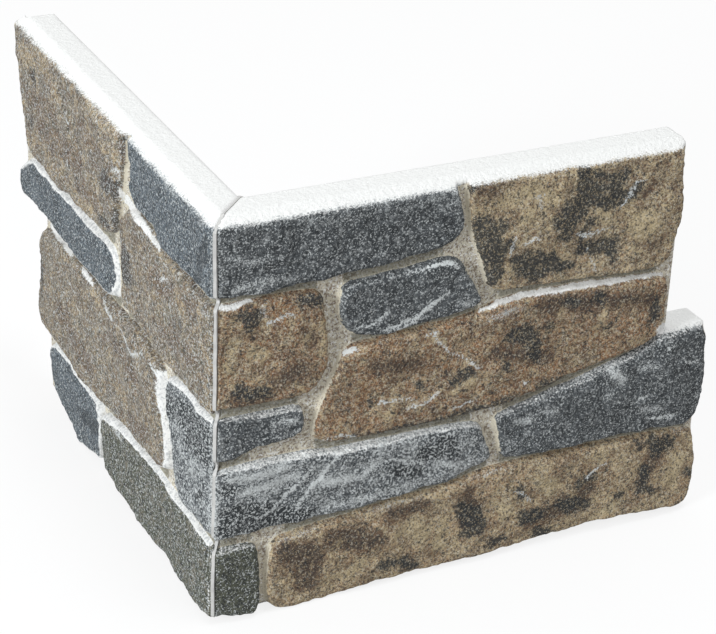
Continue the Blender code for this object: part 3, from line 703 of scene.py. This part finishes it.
# One layer of a finish: the attribute that it follows, its pattern's size in millimetres, how far the pattern
# moves the attribute, where the layer starts and is whole, its colour and how much of it shows
Layer = namedtuple("Layer", "field size reach low high colour share", defaults=(1.0,))
APART = (5.3, 2.9, 7.1)      # each layer reads its noise this much further on than the last
COARSE = 1.5                 # patterns larger than this have finer detail inside
GRIT = 2.0                   # size and height of the bump, in millimetres
GRIT_HEIGHT = 0.7

FROST = [
    Layer("frost", 1.6, 5.0, 0.4, 3.2, "frost", 0.3),
    Layer("frost", 0.55, 7.0, 0.8, 3.2, "frost", 0.8),
    Layer("vein", 0.8, 2.2, -0.1, 0.5, "frost", 0.85),
]
BODY = [
    # The white of the unprinted body, which on upward rims and bevels is also a painted highlight
    Layer("raw_and_highlit", 0.9, 0.6, 0.28, 0.6, "frost", 0.5),
    Layer("raw_and_highlit", 0.7, 0.9, 0.25, 0.7, "body"),
    Layer("raw_and_highlit", 0.8, 1.0, 1.05, 1.5, "slate", 0.15),
    # Painted shade: blue grey patches on the white ledges
    Layer("ledge_shade", 1.2, 1.4, 0.8, 1.35, "blue", 0.4),
    Layer("sandy", 0.9, 0.8, 0.3, 0.6, "sand"),
    Layer("sandy", 0.5, 1.0, 0.95, 1.25, "umber", 0.6),
    Layer("bed", 0.9, 0.6, 0.3, 0.6, "sand"),
    Layer("bed", 3.0, 1.0, 1.0, 1.3, "umber", 0.35),
    Layer("bed", 0.9, 1.0, 1.0, 1.14, "umber", 0.7),
    Layer("bed", 0.8, 1.0, 1.06, 1.2, "body", 0.8),
    # Painted shade: dark moss grey in low joints
    Layer("joint_shade", 1.2, 0.8, 0.3, 0.8, "moss", 0.6),
]
SLATE_GRAIN = [
    Layer(None, 3.2, 1.0, -0.15, 0.15, "slate", 0.75),
    Layer(None, 0.8, 1.0, -0.1, 0.15, "slate", 0.7),
    Layer(None, 1.6, 1.0, 0.0, 0.2, "charcoal", 0.85),
    Layer(None, 0.8, 1.0, 0.02, 0.18, "charcoal", 0.8),
    Layer(None, 1.8, 1.0, 0.05, 0.25, "frost", 0.25),
    Layer(None, 0.7, 1.0, 0.1, 0.26, "frost", 0.65),
]
STONE_GRAIN = [
    Layer("tan", 2.0, 5.0, -1.2, 1.6, "ochre", 0.8),
    Layer(None, 1.6, 1.0, 0.03, 0.22, "umber", 0.8),
    Layer(None, 1.7, 1.0, 0.0, 0.22, "ochre", 0.7),
    Layer(None, 0.9, 1.0, 0.02, 0.18, "umber", 0.7),
    Layer(None, 0.8, 1.0, 0.08, 0.2, "sand", 0.6),
    Layer(None, 5.0, 1.0, 0.03, 0.15, "umber", 0.5),
    Layer("umber", 2.2, 6.0, -1.6, 1.2, "umber", 0.85),
    Layer("umber", 1.4, 6.0, 0.4, 2.2, "charcoal", 0.5),
    Layer("tan", 1.4, 5.0, 0.0, 2.0, "ochre", 0.5),
    Layer("dark", 1.8, 5.5, -1.6, 0.5, "charcoal", 0.92),
    Layer(None, 1.6, 1.0, 0.1, 0.2, "charcoal", 0.8),
    Layer(None, 0.9, 1.0, 0.1, 0.22, "olive", 0.45),
    Layer(None, 0.8, 1.0, 0.1, 0.22, "charcoal", 0.7),
    Layer(None, 0.8, 1.0, 0.16, 0.28, "sand", 0.45),
]
GREY_GRAIN = [
    Layer("umber", 2.4, 5.0, -1.4, 1.8, "umber", 0.5),
    Layer("tan", 3.0, 5.0, -1.8, 1.8, "olive", 0.8),
    Layer(None, 3.0, 1.0, 0.0, 0.2, "umber", 0.6),
    Layer(None, 1.8, 1.0, 0.0, 0.2, "moss", 0.7),
    Layer(None, 1.6, 1.0, 0.05, 0.2, "charcoal", 0.75),
    Layer("dark", 1.8, 5.0, -1.4, 1.2, "charcoal", 0.8),
    Layer(None, 0.9, 1.0, 0.05, 0.2, "umber", 0.6),
    Layer(None, 0.8, 1.0, 0.05, 0.2, "frost", 0.6),
    Layer(None, 0.8, 1.0, 0.12, 0.24, "charcoal", 0.7),
]
FINISHES = {
    "charcoal_slate": ("charcoal", [
        Layer(None, 12.0, 1.0, -0.2, 0.3, "slate", 0.5),
        *SLATE_GRAIN,
        Layer("dark", 3.0, 4.0, -0.3, 0.8, "charcoal", 0.7)]),
    "frosted_slate": ("slate", [
        Layer(None, 6.0, 1.0, -0.1, 0.25, "frost", 0.45),
        Layer("dark", 1.8, 4.0, -1.3, 0.1, "charcoal", 0.92),
        Layer(None, 1.2, 1.0, 0.0, 0.2, "charcoal", 0.6),
        Layer(None, 0.8, 1.0, 0.0, 0.18, "charcoal", 0.8),
        Layer(None, 0.8, 1.0, 0.0, 0.2, "frost", 0.75)]),
    "blue_slate": ("charcoal", [
        Layer(None, 12.0, 1.0, -0.2, 0.3, "blue", 0.7),
        Layer(None, 3.0, 1.0, -0.2, 0.2, "blue", 0.8),
        Layer(None, 0.6, 1.0, -0.2, 0.2, "blue", 0.75),
        Layer(None, 1.4, 1.0, 0.0, 0.25, "charcoal", 0.7),
        Layer(None, 0.8, 1.0, 0.02, 0.18, "charcoal", 0.8),
        Layer(None, 0.8, 1.0, 0.08, 0.24, "frost", 0.6),
        Layer("dark", 3.0, 4.0, -0.3, 0.8, "charcoal", 0.5)]),
    "rust_stone": ("rust", [
        Layer(None, 9.0, 1.0, -0.05, 0.2, "umber", 0.85),
        Layer(None, 5.0, 1.0, 0.0, 0.2, "olive", 0.8),
        Layer(None, 3.0, 1.0, 0.05, 0.25, "moss", 0.6),
        *STONE_GRAIN]),
    "olive_stone": ("olive", [
        Layer(None, 10.0, 1.0, -0.1, 0.25, "ochre", 0.8),
        Layer(None, 6.0, 1.0, 0.0, 0.2, "umber", 0.6),
        Layer(None, 4.0, 1.0, 0.05, 0.2, "moss", 0.5),
        Layer(None, 3.0, 1.0, 0.05, 0.25, "rust", 0.6),
        *STONE_GRAIN]),
    "umber_stone": ("olive", [
        Layer(None, 10.0, 1.0, -0.1, 0.2, "rust", 0.6),
        Layer(None, 6.0, 1.0, 0.05, 0.2, "umber", 0.8),
        Layer(None, 3.0, 1.0, 0.0, 0.2, "ochre", 0.6),
        *STONE_GRAIN]),
    "moss_stone": ("moss", [
        Layer(None, 4.0, 1.0, 0.0, 0.3, "charcoal", 0.6),
        *SLATE_GRAIN[2:4], *SLATE_GRAIN[5:]]),
    "pale_olive_stone": ("dun", [
        Layer(None, 9.0, 1.0, -0.1, 0.2, "olive", 0.8),
        Layer(None, 5.0, 1.0, 0.0, 0.2, "umber", 0.6),
        *GREY_GRAIN]),
    "grey_brown_stone": ("dun", [
        Layer(None, 9.0, 1.0, -0.1, 0.2, "umber", 0.4),
        Layer(None, 4.0, 1.0, -0.1, 0.2, "olive", 0.6),
        *GREY_GRAIN]),
    "grey_stone": ("moss", [
        Layer(None, 5.0, 1.0, -0.1, 0.2, "dun", 0.45),
        *SLATE_GRAIN[2:4],
        Layer(None, 0.8, 1.0, 0.05, 0.22, "frost", 0.6)]),
}


def stoneware(finish):
    """Pressed stoneware with a matt printed glaze: dry and speckled to the eye, and sandier on the unprinted
    body.

    Shade is painted into low joints and onto the white ledges, and a highlight onto upward rims and bevels.
    The print's real grain is finer than a pixel of the picture, so that it is drawn about twice as coarse.
    """
    name = "printed_stoneware_" + finish
    known = bpy.data.materials.get(name)
    if known:
        return known
    colours = bpy.context.scene.cladding_colours
    ground, layers = FINISHES[finish]
    made, tree = blank_material(name)
    place = add(tree, "ShaderNodeTexCoord").outputs["Object"]
    shade = (*getattr(colours, ground), 1.0)
    for number, layer in enumerate(layers + FROST + BODY):
        spread = 1 / (layer.size * MM)
        detail = 5.0 if layer.size > COARSE else 2.0
        moved = add(tree, "ShaderNodeMapping", inputs={
            "Vector": place, "Location": [number * way for way in APART], "Scale": [spread] * 3})
        pattern = add(tree, "ShaderNodeTexNoise", inputs={
            "Vector": moved.outputs[0], "Scale": 1.0, "Detail": detail, "Roughness": 0.75})
        reach = add(tree, "ShaderNodeMath", {"operation": "MULTIPLY_ADD"}, {
            0: pattern.outputs["Fac"], 1: 2 * layer.reach, 2: -layer.reach})
        field = reach.outputs[0]
        if layer.field:
            followed = add(tree, "ShaderNodeAttribute", {"attribute_name": layer.field})
            field = add(tree, "ShaderNodeMath", {"operation": "ADD"}, {
                0: field, 1: followed.outputs["Fac"]}).outputs[0]
        share = add(tree, "ShaderNodeMapRange", {"interpolation_type": "SMOOTHSTEP"}, {
            "Value": field, "From Min": layer.low, "From Max": layer.high, "To Max": layer.share})
        blended = add(tree, "ShaderNodeMix", {"data_type": "RGBA"}, {
            0: share.outputs[0], 6: shade, 7: (*getattr(colours, layer.colour), 1.0)})
        shade = blended.outputs[2]
    grit = add(tree, "ShaderNodeTexNoise", inputs={
        "Vector": place, "Scale": 1 / (GRIT * MM), "Detail": 4.0, "Roughness": 0.75})
    bump = add(tree, "ShaderNodeBump", inputs={
        "Height": grit.outputs["Fac"], "Strength": 1.0, "Distance": GRIT_HEIGHT * MM})
    shader = add(tree, "ShaderNodeBsdfPrincipled", inputs={
        "Base Color": shade, "Roughness": 0.88, "Specular IOR Level": 0.2, "Normal": bump.outputs[0]})
    add(tree, "ShaderNodeOutputMaterial", inputs={"Surface": shader.outputs[0]})
    return made


RESIN_MOTTLE = 3.0           # in millimetres, as its height is
MOTTLE_HEIGHT = 0.1


def resin():
    """Set two-part resin, smoothed by hand: pale grey, slightly glossy, with a faint mottle."""
    colours = bpy.context.scene.cladding_colours
    made, tree = blank_material("set_resin")
    place = add(tree, "ShaderNodeTexCoord").outputs["Object"]
    mottle = add(tree, "ShaderNodeTexNoise", inputs={
        "Vector": place, "Scale": 1 / (RESIN_MOTTLE * MM), "Detail": 3.0})
    share = add(tree, "ShaderNodeMapRange", inputs={
        "Value": mottle.outputs["Fac"], "From Min": 0.4, "From Max": 0.7, "To Max": 0.25})
    shade = add(tree, "ShaderNodeMix", {"data_type": "RGBA"}, {
        0: share.outputs[0], 6: (*colours.resin, 1.0), 7: (*colours.slate, 1.0)})
    bump = add(tree, "ShaderNodeBump", inputs={
        "Height": mottle.outputs["Fac"], "Strength": 0.4, "Distance": MOTTLE_HEIGHT * MM})
    shader = add(tree, "ShaderNodeBsdfPrincipled", inputs={
        "Base Color": shade.outputs[2], "Roughness": 0.5, "Normal": bump.outputs[0]})
    add(tree, "ShaderNodeOutputMaterial", inputs={"Surface": shader.outputs[0]})
    return made


# Operators

def dress_panel(panel):
    """Build the stoneware piece that stands for a CAD panel."""
    sizes = bpy.context.scene.cladding_sizes
    piece, tree = even_grid(panel, sizes)
    paint_fields(panel, piece.data, tree)
    rough_faces(panel, piece.data, sizes)
    flatten_back(panel, piece.data)
    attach(piece, "root")
    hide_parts(panel.node)


class CLADDING_OT_long_panel(bpy.types.Operator):
    """Dress the long panel with its stones and joints"""
    bl_idname = "object.cladding_long_panel"
    bl_label = "Long panel"

    def execute(self, context):
        dress_panel(LONG_PANEL)
        return {"FINISHED"}


class CLADDING_OT_return_panel(bpy.types.Operator):
    """Dress the return panel with its stones and joints"""
    bl_idname = "object.cladding_return_panel"
    bl_label = "Return panel"

    def execute(self, context):
        dress_panel(RETURN_PANEL)
        return {"FINISHED"}


# The resin, in millimetres
SEAM_ROW = 0.75     # height of a row of its faces
FEEL_ASIDE = 1.15   # the stones are felt for this far beside the mitre, from this far outside
FEEL_FROM = 8
FEEL_WITHIN = 0.3   # and no nearer than this to the top and the foot
RESIN_PAST = 0.4    # how far past the backs the resin reaches
RESIN_PROUD = 0.6   # how far it fills the seam in front, except this near the top
PROUD_BELOW = 3.5
RESIN_LAP = 0.1     # how much thicker it is than the gap that is left
RESIN_FLARE = 1.9   # how much wider, this near the front, where the panels' edges are rounded
FLARE_DEPTH = 0.1
BEAD_ROUND = 0.62   # the bead's radius as a share of its leg
BEAD_SHORT = 0.6    # how much shorter than the panels it is, and how far back its middle is set in
BEAD_SET_IN = 0.25
BEAD_ROWS = 61
BEAD_WAVE = 0.35    # how uneven the bead is, this near the back
WAVE_DEPTH = 3
WAVE_WIDE = 3
WAVE_TALL = 4
RESIN_FOOT = 0.05   # height that no resin goes below


def seam_fronts(steps):
    """How far down the mitre the stones beside it begin, at even heights."""
    inward = Vector((1, 1, 0)).normalized()
    aside = Vector((1, -1, 0)).normalized()
    fronts = []
    trees = []
    for panel, side in ((LONG_PANEL, 1), (RETURN_PANEL, -1)):
        bm = bmesh.new()
        bm.from_mesh(bpy.data.objects[panel.piece].data)
        trees.append((BVHTree.FromBMesh(bm), side))
        bm.free()
    for number in range(steps + 1):
        reach = []
        for tree, side in trees:
            start = CORNER + aside * side * FEEL_ASIDE * MM - inward * FEEL_FROM * MM
            start.z = max(FEEL_WITHIN, min(HEIGHT - FEEL_WITHIN, HEIGHT * number / steps)) * MM
            hit = tree.ray_cast(start, inward)[0]
            reach.append(BED_DEPTH * math.sqrt(2) if hit is None else ((hit - CORNER) @ inward) / MM)
        fronts.append(sum(reach) / 2)
    return fronts


class CLADDING_OT_mitre_resin(bpy.types.Operator):
    """Fill the mitre with resin that ends in a bead in the inner corner"""
    bl_idname = "object.cladding_mitre_resin"
    bl_label = "Mitre resin"

    def execute(self, context):
        sizes = context.scene.cladding_sizes
        steps = int(HEIGHT / SEAM_ROW)
        fronts = seam_fronts(steps)
        back = (THICKNESS + RESIN_PAST) * math.sqrt(2)
        bm = bmesh.new()
        bmesh.ops.create_grid(bm, x_segments=6, y_segments=steps, size=0.5)
        for vert in bm.verts:
            number = round((vert.co.y + 0.5) * steps)
            share = vert.co.x + 0.5
            height = HEIGHT * number / steps
            front = fronts[number] - (RESIN_PROUD if height < HEIGHT - PROUD_BELOW else 0.0)
            vert.co = Vector((front + (back - front) * share * share, 0, height))
        bm.normal_update()
        bmesh.ops.solidify(bm, geom=bm.faces, thickness=MITRE_GAP - 2 * MITRE_CREEP + RESIN_LAP)
        middle = sum(vert.co.y for vert in bm.verts) / len(bm.verts)
        bmesh.ops.translate(bm, verts=bm.verts, vec=(0, -middle, 0))
        for vert in bm.verts:
            if vert.co.x < fronts[round(vert.co.z / HEIGHT * steps)] + FLARE_DEPTH:
                vert.co.y *= RESIN_FLARE
        radius = sizes.resin_bead / MM * BEAD_ROUND
        bead = bmesh.ops.create_cone(bm, cap_ends=True, segments=12, radius1=radius, radius2=radius,
                                     depth=HEIGHT - BEAD_SHORT)
        rounds = set(bead["verts"])
        bmesh.ops.translate(bm, verts=bead["verts"], vec=(back - BEAD_SET_IN, 0, HEIGHT / 2))
        sides = [edge for edge in bm.edges if edge.verts[0] in rounds and edge.verts[1] in rounds
                 and abs(edge.verts[0].co.z - edge.verts[1].co.z) > 1]
        bmesh.ops.subdivide_edges(bm, edges=sides, cuts=BEAD_ROWS - 1, use_grid_fill=True)
        for vert in bm.verts:
            if vert.co.x > back - WAVE_DEPTH:
                at = Vector((vert.co.x / WAVE_WIDE, vert.co.y / WAVE_WIDE, vert.co.z / WAVE_TALL))
                vert.co.x += BEAD_WAVE * noise.noise(at)
            vert.co.z = min(max(vert.co.z, RESIN_FOOT), HEIGHT)
        bmesh.ops.recalc_face_normals(bm, faces=bm.faces)
        bmesh.ops.rotate(bm, verts=bm.verts, cent=(0, 0, 0), matrix=Matrix.Rotation(math.radians(45), 3, "Z"))
        bmesh.ops.scale(bm, verts=bm.verts, vec=(MM,) * 3)
        bmesh.ops.translate(bm, verts=bm.verts, vec=CORNER)
        piece = placed("mitre_resin", bm)
        piece.data.materials.append(resin())
        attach(piece, "root")
        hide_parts("mitre_glue")
        return {"FINISHED"}


# Stage

VIEW_AZIMUTH = -26.961   # the photograph's view, in degrees
VIEW_ELEVATION = 27.845
VIEW_ROLL = -2.318
VIEW_CENTRE = (-231.35, -554.73, 436.81)     # from the outer corner, in millimetres
VIEW_LENS = 109.82
FLOOR_REACH = 6.0        # in metres
FLOOR_LIT = "#a9a9a9"    # the floor as it lights the object, and as the camera sees it
FLOOR_SEEN = "#f8f8f8"
FLOOR_VEIL = 0.8         # share of plain white in what the camera sees of the floor
WORLD_LIGHT = 0.62       # strength of its even light
LAMP_SIZE = 0.5          # in metres
LAMP_COLOUR = (0.94, 0.975, 1.0)
# Each lamp's name, place in metres and power in watts
LAMPS = (("key_softbox", (-1.72, -0.64, 0.78), 26.0),
         ("top_softbox", (0.15, -0.35, 1.95), 10.0))


def seen_straight(tree):
    """1 for the camera's rays, also by way of gloss or glass, and 0 for light that falls on the object."""
    path = add(tree, "ShaderNodeLightPath").outputs
    seen = path["Is Camera Ray"]
    for kind in ("Is Glossy Ray", "Is Transmission Ray"):
        seen = add(tree, "ShaderNodeMath", {"operation": "MAXIMUM"}, {0: seen, 1: path[kind]}).outputs[0]
    return seen


class CLADDING_OT_stage(bpy.types.Operator):
    """Set up the floor, the lamps, the world and the camera"""
    bl_idname = "object.cladding_stage"
    bl_label = "Stage"

    def execute(self, context):
        scene = context.scene
        azimuth, elevation, roll = (math.radians(a) for a in (VIEW_AZIMUTH, VIEW_ELEVATION, VIEW_ROLL))
        forward = Vector((-math.sin(azimuth) * math.cos(elevation), math.cos(azimuth) * math.cos(elevation),
                          -math.sin(elevation)))
        level = Vector((math.cos(azimuth), math.sin(azimuth), 0))
        down = forward.cross(level)
        right = math.cos(roll) * level + math.sin(roll) * down
        low = math.cos(roll) * down - math.sin(roll) * level
        lens = bpy.data.cameras.new("photo_camera")
        lens.sensor_width = 36.0
        lens.lens = VIEW_LENS
        lens.clip_start = 0.01
        lens.clip_end = 20.0
        camera = bpy.data.objects.new("photo_camera", lens)
        turn = Matrix((right, -low, -forward)).transposed().to_4x4()
        camera.matrix_world = Matrix.Translation(CORNER + Vector(VIEW_CENTRE) * MM) @ turn
        scene.collection.objects.link(camera)
        scene.camera = camera

        bm = bmesh.new()
        bmesh.ops.create_grid(bm, x_segments=1, y_segments=1, size=FLOOR_REACH)
        floor = placed("studio_floor", bm)
        made, tree = blank_material("pale_floor")
        seen = seen_straight(tree)
        veil = add(tree, "ShaderNodeMath", {"operation": "MULTIPLY"}, {0: seen, 1: FLOOR_VEIL})
        tint = add(tree, "ShaderNodeMix", {"data_type": "RGBA"}, {
            0: seen, 6: (*rgb(FLOOR_LIT), 1.0), 7: (*rgb(FLOOR_SEEN), 1.0)})
        matt = add(tree, "ShaderNodeBsdfDiffuse", inputs={"Color": tint.outputs[2]})
        white = add(tree, "ShaderNodeEmission", inputs={"Strength": 1.0})
        both = add(tree, "ShaderNodeMixShader", inputs={
            0: veil.outputs[0], 1: matt.outputs[0], 2: white.outputs[0]})
        add(tree, "ShaderNodeOutputMaterial", inputs={"Surface": both.outputs[0]})
        floor.data.materials.append(made)

        world = bpy.data.worlds.new("studio_world")
        scene.world = world
        world.use_nodes = True
        tree = world.node_tree
        tree.nodes.clear()
        plain = (1.0, 1.0, 1.0, 1.0)
        light = add(tree, "ShaderNodeBackground", inputs={"Color": plain, "Strength": WORLD_LIGHT})
        white = add(tree, "ShaderNodeBackground", inputs={"Color": plain, "Strength": 1.0})
        both = add(tree, "ShaderNodeMixShader", inputs={
            0: seen_straight(tree), 1: light.outputs[0], 2: white.outputs[0]})
        add(tree, "ShaderNodeOutputWorld", inputs={"Surface": both.outputs[0]})

        for name, place, power in LAMPS:
            lamp = bpy.data.lights.new(name, "AREA")
            lamp.energy = power
            lamp.size = LAMP_SIZE
            lamp.color = LAMP_COLOUR
            softbox = bpy.data.objects.new(name, lamp)
            softbox.location = place
            softbox.rotation_euler = (-Vector(place)).to_track_quat("-Z", "Y").to_euler()
            scene.collection.objects.link(softbox)
        scene.view_settings.view_transform = "Standard"
        return {"FINISHED"}


class CLADDING_PT_sidebar(bpy.types.Panel):
    """Lists the pieces' operators, sizes and colours"""
    bl_label = "Stone cladding corner"
    bl_idname = "CLADDING_PT_sidebar"
    bl_space_type = "VIEW_3D"
    bl_region_type = "UI"
    bl_category = "Cladding"

    def draw(self, context):
        for operator in OPERATORS:
            self.layout.operator(operator.bl_idname)
        for group in (context.scene.cladding_sizes, context.scene.cladding_colours):
            for name in group.bl_rna.properties.keys():
                if name not in ("rna_type", "name"):
                    self.layout.prop(group, name)


OPERATORS = (CLADDING_OT_long_panel, CLADDING_OT_return_panel, CLADDING_OT_mitre_resin, CLADDING_OT_stage)
CLASSES = (CladdingSizes, CladdingColours, *OPERATORS, CLADDING_PT_sidebar)


def register():
    for item in CLASSES:
        bpy.utils.register_class(item)
    bpy.types.Scene.cladding_sizes = PointerProperty(type=CladdingSizes)
    bpy.types.Scene.cladding_colours = PointerProperty(type=CladdingColours)


def unregister():
    del bpy.types.Scene.cladding_colours
    del bpy.types.Scene.cladding_sizes
    for item in reversed(CLASSES):
        bpy.utils.unregister_class(item)


def main():
    register()
    bpy.ops.object.cladding_long_panel()
    bpy.ops.object.cladding_return_panel()
    bpy.ops.object.cladding_mitre_resin()
    bpy.ops.object.cladding_stage()


if __name__ == "__main__":
    main()
